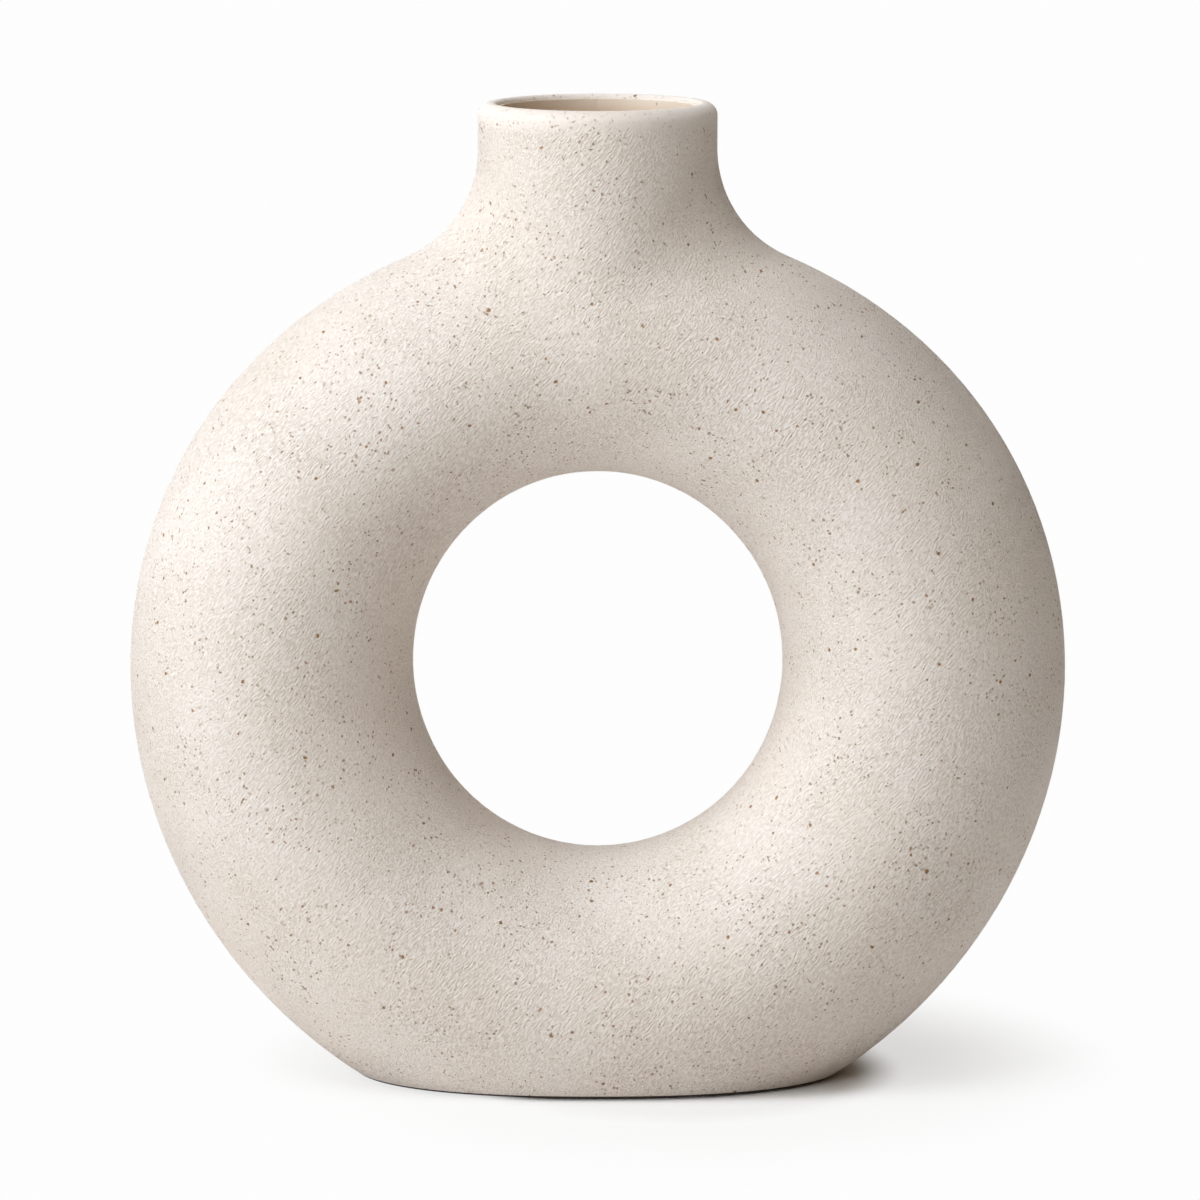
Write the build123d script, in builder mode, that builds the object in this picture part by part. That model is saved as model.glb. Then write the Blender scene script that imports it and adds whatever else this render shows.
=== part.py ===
from build123d import *
import os
from math import cos, radians, sin, sqrt

os.makedirs("parts", exist_ok=True)

# A ring-shaped stoneware vase with a hole right through it and a short neck on its crown.
# It is built as it is put together from clay: two moulded half shells luted on the mid plane,
# a collar seated on the shoulder, an oval slab that closes the flat bottom, and the clear
# glaze that lines the inside. Millimetres, Z up, origin on the floor under the hole.

# Driving dimensions of the outside. The hole's height is what the overall height leaves.
overall_height = 250.0  # floor to the top of the lip
neck_rise = 27.5  # ring's crown, inside the neck, to the top of the lip
crown_thickness = 66.0  # ring above the hole
crown_swell = 2.4  # how far the crown stands above the ring's oval, under the neck
side_thickness = 72.1  # ring beside the hole, left and right
base_thickness = 58.3  # floor to the hole
foot_cut = 17.6  # how much of the ring's round the flat bottom takes off
hole_half_width = 47.2
ring_depth_share = 1.03  # depth of the tube against its thickness, 1 for a round tube
neck_inset = 3.8  # neck's side behind the ring's side, seen from its end
shoulder_radius = 30.0  # hollow curve between the neck and the ring

# Driving dimensions of the clay and the glaze
wall = 4.8
slab_thickness = 6.0
seat_above_crown = 1.8  # the neck's seam lies just above the ring's crown
lip_outer_round_share = 0.66  # radius on the lip's outer edge against the wall
lip_inner_round_share = 0.25  # radius on its inner edge against the wall
foot_edge_radius = 0.8
foot_gap = 0.6  # how far the foot rim lifts the rounded edge off the floor
foot_gap_depth = 1.6  # how far the rim is set in, which leaves a thin shadow line
foot_rim_width = 7.0  # from the foot's outline to the recess; the rim is what the gap leaves
foot_recess = 1.2
glaze_thickness = 0.5
cut_overrun = 10.0  # how far cuts run past the clay

# The ring is lofted through sections that stand on rays from the hole centre
quarter_sections = 3  # sections from the ray to the right up to the crown, and down to the foot
section_reach = 120  # degrees from the ray to the right to the last section, past the mid plane
swell_falloff = 14  # power of the sine by which the crown's swell dies away down the sides

# Places worked out from the dimensions above
hole_half_height = (overall_height - neck_rise - crown_thickness - base_thickness) / 2
hole_centre_height = base_thickness + hole_half_height
ring_half_width = hole_half_width + side_thickness
ring_rise = hole_half_height + crown_thickness
ring_drop = hole_centre_height + foot_cut
crown_axis_height = hole_centre_height + (ring_rise + hole_half_height) / 2
neck_radius = crown_thickness / 2 * ring_depth_share - neck_inset
neck_seat_height = hole_centre_height + ring_rise + seat_above_crown
lip_outer_radius = wall * lip_outer_round_share
lip_inner_radius = wall * lip_inner_round_share
bottom_half_thickness = (ring_drop - hole_half_height) / 2
bottom_axis_drop = (ring_drop + hole_half_height) / 2
flat_share = (hole_centre_height - bottom_axis_drop) / bottom_half_thickness
foot_half_length = ring_half_width * sqrt(1 - (hole_centre_height / ring_drop) ** 2)
foot_half_depth = bottom_half_thickness * ring_depth_share * sqrt(1 - flat_share**2)
section_numbers = range(-quarter_sections, quarter_sections + 1)
quarter_angles = [90 * number / quarter_sections for number in section_numbers]
section_angles = [-section_reach, *quarter_angles, section_reach]


def oval_radius(angle, half_width, half_height):
    """Distance from the centre of an oval to its edge, at an angle above the horizontal."""
    across, up = cos(radians(angle)), sin(radians(angle))
    return 1 / sqrt((across / half_width) ** 2 + (up / half_height) ** 2)


def tube_section(angle):
    """Plane, half thickness and half depth of the ring's tube on one ray."""
    across, up = cos(radians(angle)), sin(radians(angle))
    reach = ring_rise - crown_swell if up >= 0 else ring_drop
    inner = oval_radius(angle, hole_half_width, hole_half_height)
    outer = oval_radius(angle, ring_half_width, reach) + crown_swell * max(up, 0) ** swell_falloff
    axis = (inner + outer) / 2
    half_thickness = (outer - inner) / 2
    centre = (axis * across, 0, hole_centre_height + axis * up)
    plane = Plane(origin=centre, x_dir=(across, 0, up), z_dir=(up, 0, -across))
    return plane, half_thickness, half_thickness * ring_depth_share


def vase_form(inset, floor_height, top_height):
    """The solid that lies `inset` inside the vase's outside: ring, shoulder and neck."""
    with BuildPart() as form:
        for angle in section_angles:
            plane, half_thickness, half_depth = tube_section(angle)
            with BuildSketch(plane):
                Ellipse(half_thickness - inset, half_depth - inset)
        loft()
        with BuildSketch(Plane.XY.offset(crown_axis_height)):
            Circle(neck_radius - inset)
        extrude(amount=top_height - crown_axis_height)
        # The right half is blended, then mirrored, so that both shoulders are alike
        split(bisect_by=Plane.YZ, keep=Keep.TOP)
        neck_edges = form.faces().filter_by(GeomType.CYLINDER).edges()
        plain_types = (GeomType.LINE, GeomType.CIRCLE)
        shoulder_seam = neck_edges.filter_by(lambda edge: edge.geom_type not in plain_types)
        fillet(shoulder_seam, shoulder_radius + inset)
        mirror(about=Plane.YZ)
        split(bisect_by=Plane.XY.offset(floor_height), keep=Keep.TOP)
    return form.part


outside = vase_form(0, 0, overall_height)
cavity = vase_form(wall, slab_thickness, overall_height + cut_overrun)
glazed_cavity = vase_form(
    wall + glaze_thickness, slab_thickness + glaze_thickness, overall_height + cut_overrun
)

# Walls of the whole vase, which the seams then divide
with BuildPart() as walls:
    add(outside)
    add(cavity, mode=Mode.SUBTRACT)

# Moulded half shells, each with its half of the shoulder, open to the neck and the slab
with BuildPart() as ring_front:
    add(walls.part)
    split(bisect_by=Plane.XZ, keep=Keep.TOP)
    split(bisect_by=Plane.XY.offset(neck_seat_height), keep=Keep.BOTTOM)
    split(bisect_by=Plane.XY.offset(slab_thickness), keep=Keep.TOP)

with BuildPart() as ring_back:
    add(walls.part)
    split(bisect_by=Plane.XZ, keep=Keep.BOTTOM)
    split(bisect_by=Plane.XY.offset(neck_seat_height), keep=Keep.BOTTOM)
    split(bisect_by=Plane.XY.offset(slab_thickness), keep=Keep.TOP)

# Collar with a rounded lip; its flared base seats on the shoulder
with BuildPart() as neck:
    add(walls.part)
    split(bisect_by=Plane.XY.offset(neck_seat_height), keep=Keep.TOP)
    fillet(neck.edges().group_by(Axis.Z)[-1].sort_by(Edge.radius)[-1], lip_outer_radius)
    fillet(neck.edges().group_by(Axis.Z)[-1].sort_by(Edge.radius)[0], lip_inner_radius)

# Closing slab, trimmed to the ring's outline; it stands on a low rim, set in from its edge
with BuildPart() as foot_slab:
    add(outside)
    split(bisect_by=Plane.XY.offset(slab_thickness), keep=Keep.BOTTOM)
    split(bisect_by=Plane.XY.offset(foot_gap), keep=Keep.TOP)
    # The right half is rounded at its lower edge, then mirrored
    split(bisect_by=Plane.YZ, keep=Keep.TOP)
    underside = foot_slab.faces().filter_by(GeomType.PLANE).sort_by(Axis.Z)[0]
    fillet(underside.edges().filter_by(GeomType.LINE, reverse=True), foot_edge_radius)
    mirror(about=Plane.YZ)
    with BuildSketch(Plane.XY):
        Ellipse(foot_half_length - foot_gap_depth, foot_half_depth - foot_gap_depth)
    extrude(amount=foot_gap)
    with BuildSketch(Plane.XY):
        Ellipse(foot_half_length - foot_rim_width, foot_half_depth - foot_rim_width)
    extrude(amount=foot_recess, mode=Mode.SUBTRACT)

# Clear glaze over the whole inside, up to the start of the lip
with BuildPart() as liner_glaze:
    add(cavity)
    add(glazed_cavity, mode=Mode.SUBTRACT)
    split(bisect_by=Plane.XY.offset(overall_height - lip_inner_radius), keep=Keep.BOTTOM)

ring_front.part.label = "ring_front"
ring_back.part.label = "ring_back"
neck.part.label = "neck"
foot_slab.part.label = "foot_slab"
liner_glaze.part.label = "liner_glaze"

export_step(ring_front.part, "parts/ring_front.step")
export_step(ring_back.part, "parts/ring_back.step")
export_step(neck.part, "parts/neck.step")
export_step(foot_slab.part, "parts/foot_slab.step")
export_step(liner_glaze.part, "parts/liner_glaze.step")
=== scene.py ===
"""Finish a ring-shaped stoneware vase: brushed, speckled clay outside, a satin glaze inside."""
from math import cos, radians, sin

import bpy
from bpy.props import FloatProperty, FloatVectorProperty, IntProperty, PointerProperty
from bpy.types import Operator, Panel, PropertyGroup
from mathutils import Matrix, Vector


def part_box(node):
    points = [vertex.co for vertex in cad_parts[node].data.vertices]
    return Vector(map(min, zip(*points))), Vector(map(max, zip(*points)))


bl_info = {
    "name": "Stoneware Ring Vase",
    "version": (1, 0, 0),
    "blender": (4, 5, 0),
    "location": "View3D > Sidebar > Vase",
    "description": "Finishes a ring-shaped stoneware vase and lights it on a pale floor",
    "category": "Object",
}

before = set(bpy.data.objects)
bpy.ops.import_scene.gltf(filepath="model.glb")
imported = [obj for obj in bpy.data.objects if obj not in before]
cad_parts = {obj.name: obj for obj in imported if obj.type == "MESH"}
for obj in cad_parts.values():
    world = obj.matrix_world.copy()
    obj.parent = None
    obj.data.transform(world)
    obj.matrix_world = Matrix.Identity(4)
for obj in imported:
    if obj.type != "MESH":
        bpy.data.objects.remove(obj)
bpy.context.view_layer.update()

MILLIMETRE = 0.001
CLAY_NODES = ("ring_front", "ring_back", "neck", "foot_slab")
GLAZE_NODE = "liner_glaze"
LIP_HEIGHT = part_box("neck")[1].z / MILLIMETRE
NOISE_MIDDLE = (0.5, 0.5, 0.5)


class Signal:
    """A socket of a material that Python's own arithmetic works on."""

    def __init__(self, recipe, socket):
        self.recipe = recipe
        self.socket = socket

    def combine(self, operation, first, second):
        """One node that joins two numbers, or two vectors if either is a vector."""
        vector = any(is_vector(value) for value in (first, second))
        kind = "ShaderNodeVectorMath" if vector else "ShaderNodeMath"
        return self.recipe.add(kind, {"operation": operation}, {0: first, 1: second})

    def __add__(self, other):
        return self.combine("ADD", self, other)

    def __sub__(self, other):
        return self.combine("SUBTRACT", self, other)

    def __mul__(self, other):
        return self.combine("MULTIPLY", self, other)

    def __radd__(self, other):
        return self.combine("ADD", other, self)

    def __rsub__(self, other):
        return self.combine("SUBTRACT", other, self)

    def __rmul__(self, other):
        return self.combine("MULTIPLY", other, self)


def is_vector(value):
    """Whether a value or a signal has three parts."""
    if isinstance(value, Signal):
        return value.socket.type == "VECTOR"
    return hasattr(value, "__len__")


class Recipe:
    """A material or a world in the making: its emptied node tree, and ways to add to it."""

    def __init__(self, owner):
        self.owner = owner
        owner.use_nodes = True
        self.tree = owner.node_tree
        self.tree.nodes.clear()

    def add(self, kind, settings, sockets, output=0):
        """Adds a node, sets it up, feeds its sockets, and returns one output as a signal."""
        node = self.tree.nodes.new(kind)
        for name, value in settings.items():
            setattr(node, name, value)
        for name, value in sockets.items():
            self.feed(node.inputs[name], value)
        return Signal(self, node.outputs[output]) if node.outputs else node

    def feed(self, socket, value):
        """Links a signal to a socket, or writes a plain value on it."""
        if isinstance(value, Signal):
            self.tree.links.new(value.socket, socket)
        elif socket.type == "VECTOR" and not hasattr(value, "__len__"):
            socket.default_value = (value, value, value)
        elif socket.type == "RGBA":
            socket.default_value = (*value, 1.0)
        else:
            socket.default_value = value

    def place(self):
        """Object coordinates, in millimetres."""
        metres = self.add("ShaderNodeTexCoord", {}, {}, "Object")
        return metres * (1 / MILLIMETRE)

    def noise(self, where, pitch, detail=2.0, output="Fac"):
        """Smooth noise about 0.5 whose lumps are one pitch apart, in millimetres."""
        return self.add(
            "ShaderNodeTexNoise",
            {"noise_dimensions": "3D"},
            {"Vector": where, "Scale": 1 / pitch, "Detail": detail},
            output,
        )

    def wander(self, where, pitch, reach):
        """Moves a place about by up to half a reach each way, smoothly, in millimetres."""
        drift = self.noise(where, pitch, detail=1.0, output="Color")
        return where + (drift - NOISE_MIDDLE) * reach

    def stretched(self, where, slope, share):
        """Coordinates in which a pattern runs out along a slope, seen from the front."""
        turned = self.add(
            "ShaderNodeMapping",
            {"vector_type": "TEXTURE"},
            {"Vector": where, "Rotation": (0.0, -slope, 0.0)},
        )
        return turned * (1 / share, 1.0, 1.0)

    def height(self, where):
        """Height above the floor, in millimetres."""
        return self.add("ShaderNodeSeparateXYZ", {}, {0: where}, "Z")

    def larger(self, first, second):
        """The larger of two numbers."""
        return self.add("ShaderNodeMath", {"operation": "MAXIMUM"}, {0: first, 1: second})

    def cells(self, where, pitch, feature="F1"):
        """Distance to the nearest of scattered points, or to their cells' edge, in pitches."""
        return self.add(
            "ShaderNodeTexVoronoi",
            {"voronoi_dimensions": "3D", "feature": feature},
            {"Vector": where, "Scale": 1 / pitch, "Randomness": 1.0},
            "Distance",
        )

    def between(self, value, low, high, start=0.0, end=1.0):
        """Where a value goes from low to high, a smooth step from start to end."""
        return self.add(
            "ShaderNodeMapRange",
            {"interpolation_type": "SMOOTHSTEP"},
            {
                "Value": value,
                "From Min": low,
                "From Max": high,
                "To Min": start,
                "To Max": end,
            },
        )

    def below(self, value, low, high):
        """1 where a value is under low, and a smooth step down to 0 at high."""
        return self.between(value, low, high, 1.0, 0.0)

    def near_lip(self, height, start, stop, least):
        """1 on the body, falling to the least over a band that ends just under the lip."""
        return self.between(height, LIP_HEIGHT - start, LIP_HEIGHT - stop, 1.0, least)

    def blend(self, share, first, second):
        """A colour that goes from the first to the second as the share goes from 0 to 1."""
        return self.add(
            "ShaderNodeMix",
            {"data_type": "RGBA", "clamp_factor": True},
            {"Factor": share, 6: first, 7: second},
            2,
        )

    def finish(self, shader, output="ShaderNodeOutputMaterial"):
        """Sends a shader to the output, and returns the material or the world."""
        self.add(output, {}, {"Surface": shader})
        return self.owner


class ClaySettings(PropertyGroup):
    """Colours and relief of the bare, brushed stoneware."""

    clay: FloatVectorProperty(
        name="Clay", description="Colour of the fired clay", subtype="COLOR", size=3,
        min=0.0, max=1.0, default=(0.84, 0.776, 0.724),
    )
    warm: FloatVectorProperty(
        name="Warm clay", description="Colour of the warmer patches", subtype="COLOR", size=3,
        min=0.0, max=1.0, default=(0.82, 0.737, 0.671),
    )
    # Painted shade: a darker, browner colour laid into the brush grooves, where the strokes' own
    # shade falls.
    groove_shade: FloatVectorProperty(
        name="Groove", description="Colour of the clay in the brush grooves", subtype="COLOR",
        size=3, min=0.0, max=1.0, default=(0.645, 0.555, 0.48),
    )
    speck: FloatVectorProperty(
        name="Speck", description="Colour of the small specks", subtype="COLOR", size=3,
        min=0.0, max=1.0, default=(0.37, 0.195, 0.085),
    )
    iron: FloatVectorProperty(
        name="Iron spot", description="Colour of the larger spots", subtype="COLOR", size=3,
        min=0.0, max=1.0, default=(0.30, 0.145, 0.035),
    )
    # Painted contact shade: a near-black colour on the bottom rim of the foot, where the shadow
    # under the foot falls.
    foot_rim_shade: FloatVectorProperty(
        name="Foot rim", description="Colour of the bare rim that the foot stands on",
        subtype="COLOR", size=3, min=0.0, max=1.0, default=(0.06, 0.044, 0.032),
    )
    foot_rim_shade_height: FloatProperty(
        name="Foot rim height", description="How far up the dark rim reaches, in millimetres",
        min=0.0, max=5.0, default=1.15,
    )
    roughness: FloatProperty(
        name="Roughness", description="How matte the clay is", subtype="FACTOR",
        min=0.0, max=1.0, default=0.78,
    )
    stroke_pitch: FloatProperty(
        name="Stroke pitch", description="From one brush stroke to the next, in millimetres",
        min=0.1, max=10.0, default=0.36,
    )
    stroke_length: FloatProperty(
        name="Stroke length", description="Length of a brush stroke, in millimetres",
        min=0.1, max=30.0, default=1.2,
    )
    stroke_slope: FloatProperty(
        name="Stroke slope", description="How steeply the strokes climb to the right",
        subtype="ANGLE", default=radians(48.0),
    )
    stroke_depth: FloatProperty(
        name="Stroke depth", description="Depth of the brushed relief", unit="LENGTH",
        min=0.0, max=0.005, default=0.00042,
    )


class GlazeSettings(PropertyGroup):
    """The satin glaze that lines the inside."""

    colour: FloatVectorProperty(
        name="Glaze", description="Colour of the glazed clay", subtype="COLOR", size=3,
        min=0.0, max=1.0, default=(0.87, 0.65, 0.46),
    )
    # Partly the thin glaze's own colour where it ends, partly painted light on the upper inside
    # wall.
    lip_colour: FloatVectorProperty(
        name="Glaze at the lip", description="Colour of the thin glaze where it ends",
        subtype="COLOR", size=3, min=0.0, max=1.0, default=(0.88, 0.76, 0.63),
    )
    roughness: FloatProperty(
        name="Roughness", description="How satin the glaze is", subtype="FACTOR",
        min=0.0, max=1.0, default=0.38,
    )


class StudioSettings(PropertyGroup):
    """Camera, lamps and floor."""

    camera_distance: FloatProperty(
        name="Camera distance", description="From the point that it looks at to the camera",
        unit="LENGTH", default=1.5882,
    )
    camera_elevation: FloatProperty(
        name="Camera elevation", description="How far the camera looks down",
        subtype="ANGLE", default=0.162,
    )
    camera_aim: FloatProperty(
        name="Aim height", description="Height above the floor that the camera looks at",
        unit="LENGTH", default=0.12296,
    )
    camera_side: FloatProperty(
        name="Aim side", description="How far right of the middle the camera looks",
        unit="LENGTH", default=0.00057,
    )
    lens: FloatProperty(
        name="Lens", description="Focal length, in millimetres", default=186.74,
    )
    side_power: FloatProperty(
        name="Side power", description="Power of the low lamp on the left", unit="POWER",
        default=11.6,
    )
    front_power: FloatProperty(
        name="Front power", description="Power of the low lamp at the front left",
        unit="POWER", default=8.1,
    )
    high_power: FloatProperty(
        name="High power", description="Power of the lamp high at the front left",
        unit="POWER", default=19.6,
    )
    back_power: FloatProperty(
        name="Back power", description="Power of the lamp behind the vase on the left",
        unit="POWER", default=9.0,
    )
    far_power: FloatProperty(
        name="Far power", description="Power of the weak lamp behind the vase on the right",
        unit="POWER", default=1.2,
    )
    top_power: FloatProperty(
        name="Top power", description="Power of the weak lamp over the vase",
        unit="POWER", default=2.1,
    )
    lamp_distance: FloatProperty(
        name="Lamp distance", description="From the vase's middle to each lamp", unit="LENGTH",
        default=1.7,
    )
    lamp_width: FloatProperty(
        name="Lamp width", description="Width of each lamp", unit="LENGTH", default=0.9,
    )
    low_lamp_height: FloatProperty(
        name="Low lamp height", description="Height of the low lamps' faces", unit="LENGTH",
        default=0.5,
    )
    high_lamp_height: FloatProperty(
        name="High lamp height", description="Height of the other lamps' faces", unit="LENGTH",
        default=0.8,
    )
    lamp_aim: FloatProperty(
        name="Lamp aim", description="Height above the floor that the lamps face",
        unit="LENGTH", default=0.11,
    )
    lamp_tint: FloatVectorProperty(
        name="Lamp tint", description="Colour of the lamps", subtype="COLOR", size=3,
        min=0.0, max=1.0, default=(0.90, 0.955, 1.0),
    )
    room_light: FloatProperty(
        name="Room light", description="Strength of the even light from all sides",
        default=0.105,
    )
    room_tint: FloatVectorProperty(
        name="Room tint", description="Colour of the even light", subtype="COLOR", size=3,
        min=0.0, max=1.0, default=(1.0, 0.68, 0.34),
    )
    floor: FloatVectorProperty(
        name="Floor", description="Colour of the floor", subtype="COLOR", size=3,
        min=0.0, max=1.0, default=(0.875, 0.86, 0.845),
    )
    # Painted shade: a darker floor colour round the foot, where the vase's contact shadow falls.
    floor_shade_near: FloatVectorProperty(
        name="Floor near", description="Colour of the floor round the foot", subtype="COLOR",
        size=3, min=0.0, max=1.0, default=(0.845, 0.829, 0.813),
    )
    shade_centre: FloatVectorProperty(
        name="Shade centre", description="Middle of the part of the floor that shows its shade",
        subtype="XYZ", unit="LENGTH", size=3, default=(0.02, 0.0, 0.0),
    )
    shade_reach: FloatProperty(
        name="Shade reach", description="Where the shade round the foot starts to weaken",
        unit="LENGTH", default=0.045,
    )
    soft_reach: FloatProperty(
        name="Soft reach", description="Where only the soft share of the shade is left",
        unit="LENGTH", default=0.06,
    )
    soft_share: FloatProperty(
        name="Soft share", description="How much of the shade is left past the foot",
        subtype="FACTOR", min=0.0, max=1.0, default=0.36,
    )
    white_reach: FloatProperty(
        name="White reach", description="Where the floor has faded to white",
        unit="LENGTH", default=0.125,
    )
    floor_radius: FloatProperty(
        name="Floor radius", description="How far the floor reaches", unit="LENGTH",
        default=6.0,
    )
    floor_sides: IntProperty(
        name="Floor sides", description="Sides of the floor's edge", default=96,
    )


# Marks on the clay. A pitch is in millimetres from one mark to the next, an edge is where a mark
# starts and stops fading as shares of its pitch, and a range is of noise, from thin to full.
CLUSTER_PITCH, CLUSTER_RANGE, CLUSTER_SWELL = 16.0, (0.40, 0.64), 0.07
CHAIN_PITCH, CHAIN_EDGE, CHAIN_SWELL = 15.0, (0.0, 0.045), 0.10
SPECK_PITCH, SPECK_RADIUS, SPECK_EDGE = 1.55, 0.10, (-0.03, 0.045)
FAINT_PITCH, FAINT_EDGE, FAINT_SHARE = 1.15, (0.10, 0.20), 0.25
SPOT_PITCH, SPOT_EDGE, SPOT_SHARE = 6.9, (0.05, 0.08), 0.92
DASH_STRETCH, DASH_EDGE = 4.5, (0.035, 0.075)
RISING_PITCH, RISING_SHARE, FALLING_PITCH = 2.0, 0.55, 2.4

# How deep each mark is, as a share of the brushed relief
SPECK_PIT, FAINT_PIT, SPOT_PIT = 0.5, 0.2, 0.4

# Each speck's own strength, from tan to nearly black
STRENGTH_PITCH, STRENGTH_RANGE, WEAKEST, STRONGEST = 2.3, (0.3, 0.62), 0.3, 0.85

# The clay between the marks, with painted shade in the brush grooves and painted contact shade on
# the foot's bottom rim
WORKED_PITCH, WORKED_RANGE, LEAST_WORKED = 26.0, (0.35, 0.65), 0.7
GROOVE_SHADE_RANGE, GROOVE_SHADE_SHARE = (0.38, 0.60), 0.8
PATCH_PITCH, PATCH_RANGE = 38.0, (0.3, 0.7)
RIM_SHADE_BLUR = 0.12
CLAY_SPECULAR = 0.3

# The wiped lip: where brushing and specks start and stop fading under it, in millimetres, and
# how much of them is left
WIPED_STROKES = (6.5, 2.5, 0.12)
WIPED_SPECKS = (5.0, 1.5, 0.3)


def brush_strokes(recipe, place, clay):
    """Noise of short strokes that climb to the right, their slope wandering a little."""
    loose = recipe.wander(place, pitch=4.0, reach=0.7)
    stretch = clay.stroke_length / clay.stroke_pitch
    along = recipe.stretched(loose, clay.stroke_slope, stretch)
    return recipe.noise(along, clay.stroke_pitch, detail=1.0)


def speck_cover(recipe, place):
    """Small specks, thicker in loose clusters and along faint curved lines."""
    crowd = recipe.between(recipe.noise(place, CLUSTER_PITCH, detail=2.0), *CLUSTER_RANGE)
    winding = recipe.wander(place, pitch=8.0, reach=6.0)
    chains = recipe.cells(winding, CHAIN_PITCH, feature="DISTANCE_TO_EDGE")
    near_chain = recipe.below(chains, *CHAIN_EDGE)
    bent = recipe.wander(place, pitch=0.8, reach=0.75)
    distance = recipe.cells(bent, SPECK_PITCH)
    radius = crowd * CLUSTER_SWELL + near_chain * CHAIN_SWELL + SPECK_RADIUS
    return recipe.below(distance - radius, *SPECK_EDGE)


def dash_cover(recipe, place, slope, pitch):
    """Thin dashes along one slope, as fibres leave when they burn out of the clay."""
    bent = recipe.wander(place, pitch=5.0, reach=3.2)
    distance = recipe.cells(recipe.stretched(bent, slope, DASH_STRETCH), pitch)
    return recipe.below(distance, *DASH_EDGE)


def clay_material(clay):
    """Bare stoneware: brushed relief, tan specks, fine dashes and rusty iron spots, with painted
    shade in the brush grooves and along the foot's bottom rim.
    """
    recipe = Recipe(bpy.data.materials.new("brushed_stoneware"))
    place = recipe.place()
    height = recipe.height(place)
    brushed = brush_strokes(recipe, place, clay)
    working = recipe.noise(place, WORKED_PITCH)
    worked = recipe.between(working, *WORKED_RANGE, LEAST_WORKED, 1.0)
    below_lip = recipe.near_lip(height, *WIPED_STROKES)
    strokes = brushed * worked * below_lip
    # Painted shade: the mask of the brush grooves, where the clay colour is darkened.
    grooves = recipe.below(brushed, *GROOVE_SHADE_RANGE) * worked * below_lip
    rising = dash_cover(recipe, place, clay.stroke_slope, RISING_PITCH)
    falling = dash_cover(recipe, place, -clay.stroke_slope, FALLING_PITCH)
    dashes = recipe.larger(rising * RISING_SHARE, falling)
    marks = recipe.larger(speck_cover(recipe, place), dashes)
    faint = recipe.cells(recipe.wander(place, pitch=0.7, reach=0.8), FAINT_PITCH)
    faint_specks = recipe.below(faint, *FAINT_EDGE)
    spots_at = recipe.cells(recipe.wander(place, pitch=1.3, reach=0.8), SPOT_PITCH)
    spots = recipe.below(spots_at, *SPOT_EDGE)

    own_noise = recipe.noise(place, STRENGTH_PITCH, detail=0.0)
    own_strength = recipe.between(own_noise, *STRENGTH_RANGE, WEAKEST, STRONGEST)
    strength = own_strength * recipe.near_lip(height, *WIPED_SPECKS)
    patches = recipe.between(recipe.noise(place, PATCH_PITCH, detail=3.0), *PATCH_RANGE)
    smooth = recipe.blend(patches, tuple(clay.clay), tuple(clay.warm))
    ground = recipe.blend(grooves * GROOVE_SHADE_SHARE, smooth, tuple(clay.groove_shade))
    freckled = recipe.blend(faint_specks * FAINT_SHARE, ground, tuple(clay.speck))
    marked = recipe.blend(marks * strength, freckled, tuple(clay.speck))
    spotted = recipe.blend(spots * SPOT_SHARE, marked, tuple(clay.iron))
    # Painted contact shade: the foot goes near black from the floor up to the rim height.
    rim = recipe.below(height, clay.foot_rim_shade_height, clay.foot_rim_shade_height + RIM_SHADE_BLUR)
    colour = recipe.blend(rim, spotted, tuple(clay.foot_rim_shade))

    pits = marks * SPECK_PIT + faint_specks * FAINT_PIT + spots * SPOT_PIT
    bump = recipe.add(
        "ShaderNodeBump",
        {},
        {"Height": strokes - pits, "Distance": clay.stroke_depth, "Strength": 1.0},
    )
    shader = recipe.add(
        "ShaderNodeBsdfPrincipled",
        {},
        {
            "Base Color": colour,
            "Roughness": clay.roughness,
            "Specular IOR Level": CLAY_SPECULAR,
            "Normal": bump,
        },
    )
    return recipe.finish(shader)


# Marks in the glaze, given as those on the clay are, and how dark its two tones are
GLAZE_SPECK_PITCH, GLAZE_SPECK_EDGE, GLAZE_SPECK_SHARE = 3.4, (0.07, 0.13), 0.6
GLAZE_POOL_PITCH, GLAZE_POOL_RANGE = 22.0, (0.3, 0.7)
GLAZE_POOL_TONE, GLAZE_SPECK_TONE = 0.88, 0.4

# Where the glaze starts and stops thinning out, and turns lighter as painted light on the upper
# inside wall, in millimetres under the lip
GLAZE_THINS_FROM, GLAZE_THIN_BY = 7.0, 1.0

# The glaze's ripples: their pitch in millimetres, and their depth in metres
RIPPLE_PITCH, RIPPLE_DEPTH = 3.0, 0.00004


def darker(colour, tone):
    """A colour of which only a share of the brightness is left."""
    return tuple(part * tone for part in colour)


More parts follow.
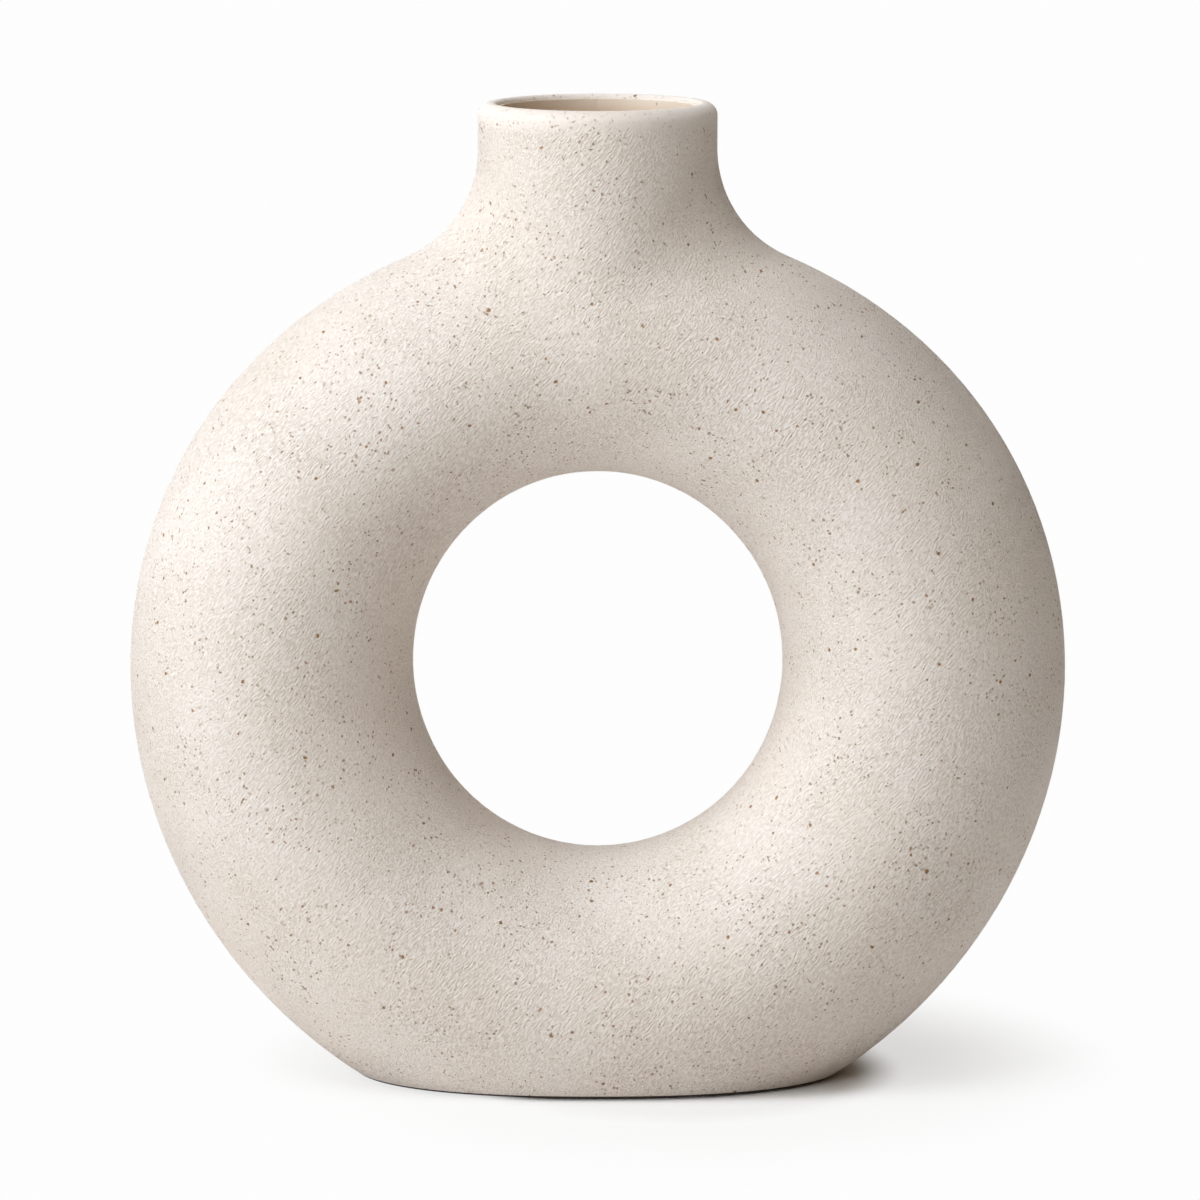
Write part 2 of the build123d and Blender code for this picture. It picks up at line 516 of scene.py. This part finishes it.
def glaze_material(glaze):
    """Satin glaze over the clay, with a few brown specks showing through."""
    recipe = Recipe(bpy.data.materials.new("satin_glaze"))
    place = recipe.place()
    distance = recipe.cells(recipe.wander(place, pitch=1.2, reach=0.6), GLAZE_SPECK_PITCH)
    specks = recipe.below(distance, *GLAZE_SPECK_EDGE)
    depth = recipe.noise(place, GLAZE_POOL_PITCH, detail=2.0)
    pooled = recipe.between(depth, *GLAZE_POOL_RANGE)
    ground = recipe.blend(pooled, tuple(glaze.colour), darker(glaze.colour, GLAZE_POOL_TONE))
    # The glaze thins and lightens towards the lip: partly its own colour, partly painted light
    # where the upper inside wall is lit.
    thins_from, thin_by = LIP_HEIGHT - GLAZE_THINS_FROM, LIP_HEIGHT - GLAZE_THIN_BY
    thin = recipe.between(recipe.height(place), thins_from, thin_by)
    thinned_and_lit = recipe.blend(thin, ground, tuple(glaze.lip_colour))
    speck_colour = darker(glaze.colour, GLAZE_SPECK_TONE)
    colour = recipe.blend(specks * GLAZE_SPECK_SHARE, thinned_and_lit, speck_colour)
    ripples = recipe.noise(place, RIPPLE_PITCH)
    bump = recipe.add(
        "ShaderNodeBump", {}, {"Height": ripples, "Distance": RIPPLE_DEPTH, "Strength": 1.0}
    )
    shader = recipe.add(
        "ShaderNodeBsdfPrincipled",
        {},
        {"Base Color": colour, "Roughness": glaze.roughness, "Normal": bump},
    )
    return recipe.finish(shader)


def dress(node, material):
    """Gives a CAD node its finish."""
    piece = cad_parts[node]
    piece.data.materials.clear()
    piece.data.materials.append(material)


class VASE_OT_clay(Operator):
    """Give the ring, the neck and the foot their brushed, speckled clay"""

    bl_idname = "vase.clay"
    bl_label = "Clay"

    def execute(self, context):
        material = clay_material(context.scene.vase_clay)
        for node in CLAY_NODES:
            dress(node, material)
        return {"FINISHED"}


class VASE_OT_glaze(Operator):
    """Give the lining its satin glaze"""

    bl_idname = "vase.glaze"
    bl_label = "Glaze"

    def execute(self, context):
        dress(GLAZE_NODE, glaze_material(context.scene.vase_glaze))
        return {"FINISHED"}


# Where each lamp stands: its bearing from the front to the right, and its elevation, in degrees
LAMPS = {
    "side": (-70.0, 12.0),
    "front": (-40.0, 12.0),
    "high": (-40.0, 64.0),
    "back": (-165.0, 30.0),
    "far": (120.0, 30.0),
    "top": (0.0, 88.0),
}
LOW_LAMPS = ("side", "front")

SENSOR_WIDTH = 36.0
CLIP_START = 0.05
CLIP_END = 50.0
WHITE = 0.985


def floor_material(studio):
    """Pale floor that keeps the vase's shadow, darkens its colour round the foot as painted shade,
    and goes to plain white further out.
    """
    recipe = Recipe(bpy.data.materials.new("studio_floor"))
    white = recipe.add("ShaderNodeEmission", {}, {"Color": (WHITE,) * 3, "Strength": 1.0})
    metres = recipe.add("ShaderNodeTexCoord", {}, {}, "Object")
    from_shade = metres - tuple(studio.shade_centre)
    away = recipe.add("ShaderNodeVectorMath", {"operation": "LENGTH"}, {0: from_shade}, "Value")
    # Painted shade: the floor's colour darkens towards the foot.
    outward = recipe.between(away, studio.shade_reach, studio.white_reach)
    ground = recipe.blend(outward, tuple(studio.floor_shade_near), tuple(studio.floor))
    diffuse = recipe.add("ShaderNodeBsdfDiffuse", {}, {"Color": ground, "Roughness": 1.0})
    soft = studio.soft_share
    weakened = recipe.between(away, studio.shade_reach, studio.soft_reach, 0.0, 1.0 - soft)
    fade = weakened + recipe.between(away, studio.soft_reach, studio.white_reach, 0.0, soft)
    seen = recipe.add("ShaderNodeLightPath", {}, {}, "Is Camera Ray")
    mirrored = recipe.add("ShaderNodeLightPath", {}, {}, "Is Glossy Ray")
    direct = recipe.larger(seen, mirrored)
    shader = recipe.add("ShaderNodeMixShader", {}, {0: fade * direct, 1: diffuse, 2: white})
    return recipe.finish(shader)


def add_lamp(studio, name):
    """A soft rectangular lamp that faces the vase from its place in the list of lamps."""
    lamp = bpy.data.lights.new(name, "AREA")
    lamp.shape = "RECTANGLE"
    lamp.size = studio.lamp_width
    lamp.size_y = studio.low_lamp_height if name in LOW_LAMPS else studio.high_lamp_height
    lamp.energy = getattr(studio, f"{name}_power")
    lamp.color = tuple(studio.lamp_tint)
    turn, climb = (radians(angle) for angle in LAMPS[name])
    towards = Vector((sin(turn) * cos(climb), -cos(turn) * cos(climb), sin(climb)))
    holder = bpy.data.objects.new(name, lamp)
    holder.location = Vector((0.0, 0.0, studio.lamp_aim)) + towards * studio.lamp_distance
    holder.rotation_euler = (-towards).to_track_quat("-Z", "Y").to_euler()
    bpy.context.scene.collection.objects.link(holder)


def add_camera(studio):
    """The photograph's viewpoint: in front of the hole, a little above it."""
    lens = bpy.data.cameras.new("camera")
    lens.lens = studio.lens
    lens.sensor_width = SENSOR_WIDTH
    lens.clip_start = CLIP_START
    lens.clip_end = CLIP_END
    camera = bpy.data.objects.new("camera", lens)
    aim = Vector((studio.camera_side, 0.0, studio.camera_aim))
    slope = studio.camera_elevation
    back = Vector((0.0, -cos(slope), sin(slope)))
    camera.location = aim + back * studio.camera_distance
    camera.rotation_euler = (-back).to_track_quat("-Z", "Y").to_euler()
    bpy.context.scene.collection.objects.link(camera)
    bpy.context.scene.camera = camera


def add_room(studio):
    """Even warm light from all sides, and a white wall where the camera looks past the floor."""
    recipe = Recipe(bpy.data.worlds.new("studio_room"))
    even_light = {"Color": tuple(studio.room_tint), "Strength": studio.room_light}
    even = recipe.add("ShaderNodeBackground", {}, even_light)
    wall = recipe.add("ShaderNodeBackground", {}, {"Color": (WHITE,) * 3, "Strength": 1.0})
    seen = recipe.add("ShaderNodeLightPath", {}, {}, "Is Camera Ray")
    shader = recipe.add("ShaderNodeMixShader", {}, {0: seen, 1: even, 2: wall})
    bpy.context.scene.world = recipe.finish(shader, "ShaderNodeOutputWorld")


class VASE_OT_studio(Operator):
    """Make the camera, the lamps, the pale room and the floor"""

    bl_idname = "vase.studio"
    bl_label = "Studio"

    def execute(self, context):
        studio = context.scene.vase_studio
        add_camera(studio)
        add_room(studio)
        for name in LAMPS:
            add_lamp(studio, name)
        bpy.ops.mesh.primitive_circle_add(
            vertices=studio.floor_sides, radius=studio.floor_radius, fill_type="NGON"
        )
        floor = context.active_object
        floor.name = "floor"
        floor.data.materials.append(floor_material(studio))
        context.scene.view_settings.view_transform = "Standard"
        return {"FINISHED"}


class VASE_PT_panel(Panel):
    """Steps and settings of the vase"""

    bl_idname = "VASE_PT_panel"
    bl_label = "Ring Vase"
    bl_space_type = "VIEW_3D"
    bl_region_type = "UI"
    bl_category = "Vase"

    def draw(self, context):
        layout = self.layout
        for operator in OPERATORS:
            layout.operator(operator.bl_idname)
        for group in (context.scene.vase_clay, context.scene.vase_glaze, context.scene.vase_studio):
            for name in group.__annotations__:
                layout.prop(group, name)


OPERATORS = (VASE_OT_clay, VASE_OT_glaze, VASE_OT_studio)
GROUPS = {"vase_clay": ClaySettings, "vase_glaze": GlazeSettings, "vase_studio": StudioSettings}


def register():
    """Makes the classes and the settings known to Blender."""
    for group in GROUPS.values():
        bpy.utils.register_class(group)
    for operator in OPERATORS:
        bpy.utils.register_class(operator)
    bpy.utils.register_class(VASE_PT_panel)
    for name, group in GROUPS.items():
        setattr(bpy.types.Scene, name, PointerProperty(type=group))


def unregister():
    """Takes the classes and the settings away again."""
    for name in GROUPS:
        delattr(bpy.types.Scene, name)
    bpy.utils.unregister_class(VASE_PT_panel)
    for operator in reversed(OPERATORS):
        bpy.utils.unregister_class(operator)
    for group in reversed(GROUPS.values()):
        bpy.utils.unregister_class(group)


def main():
    """Runs every step in order."""
    register()
    bpy.ops.vase.studio()
    bpy.ops.vase.clay()
    bpy.ops.vase.glaze()


if __name__ == "__main__":
    main()
